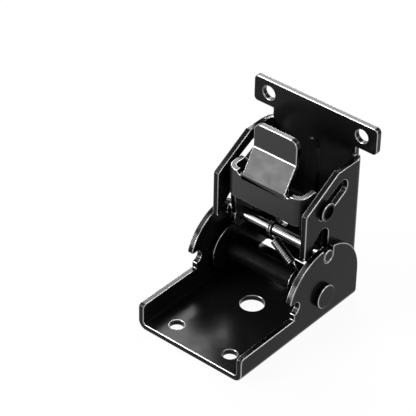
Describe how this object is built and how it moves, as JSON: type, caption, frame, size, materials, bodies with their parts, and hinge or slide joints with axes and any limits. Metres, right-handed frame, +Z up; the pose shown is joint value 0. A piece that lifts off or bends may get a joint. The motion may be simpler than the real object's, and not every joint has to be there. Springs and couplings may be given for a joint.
{
  "type": "folding shelf bracket",
  "caption": "Self-locking folding bracket: a channel base with ears, a leaf with a screw flange that turns 90 degrees on a pivot pin, and a sprung release lever with a lock pin.",
  "frame": {"origin": "underside of the base, straight below the main pivot, midway between the ears", "axes": "+X across the bracket along the pivot, +Y towards the leaf's back face, +Z up away from the base"},
  "size_m": [0.057, 0.0714, 0.0763],
  "materials": {
    "black_paint": "gloss",
    "black_pin": "gloss",
    "spring_steel": "satin"
  },
  "bodies": {
    "base": {"base_bracket": "black_paint", "main_pivot_pin": "black_pin"},
    "leaf": {"upper_bracket": "black_paint", "lock_spring": "spring_steel"},
    "lever": {"release_lever": "black_paint", "lock_pin": "black_pin", "guide_pin": "black_pin", "guide_washer_left": "black_pin", "guide_washer_right": "black_pin"}
  },
  "joints": [
    {"name": "fold", "type": "hinge", "parent": "base", "child": "leaf", "pos_m": [0, 0, 0.0134], "axis": [1, 0, 0], "range_deg": [0, 90]},
    {"name": "release", "type": "hinge", "parent": "leaf", "child": "lever", "pos_m": [0, 0.0153, 0.0328], "axis": [-1, 0, 0], "range_deg": [0, 26], "stiffness_Nm_per_rad": 0.1, "springref_deg": -22.92, "deforming": ["lock_spring"]}
  ]
}
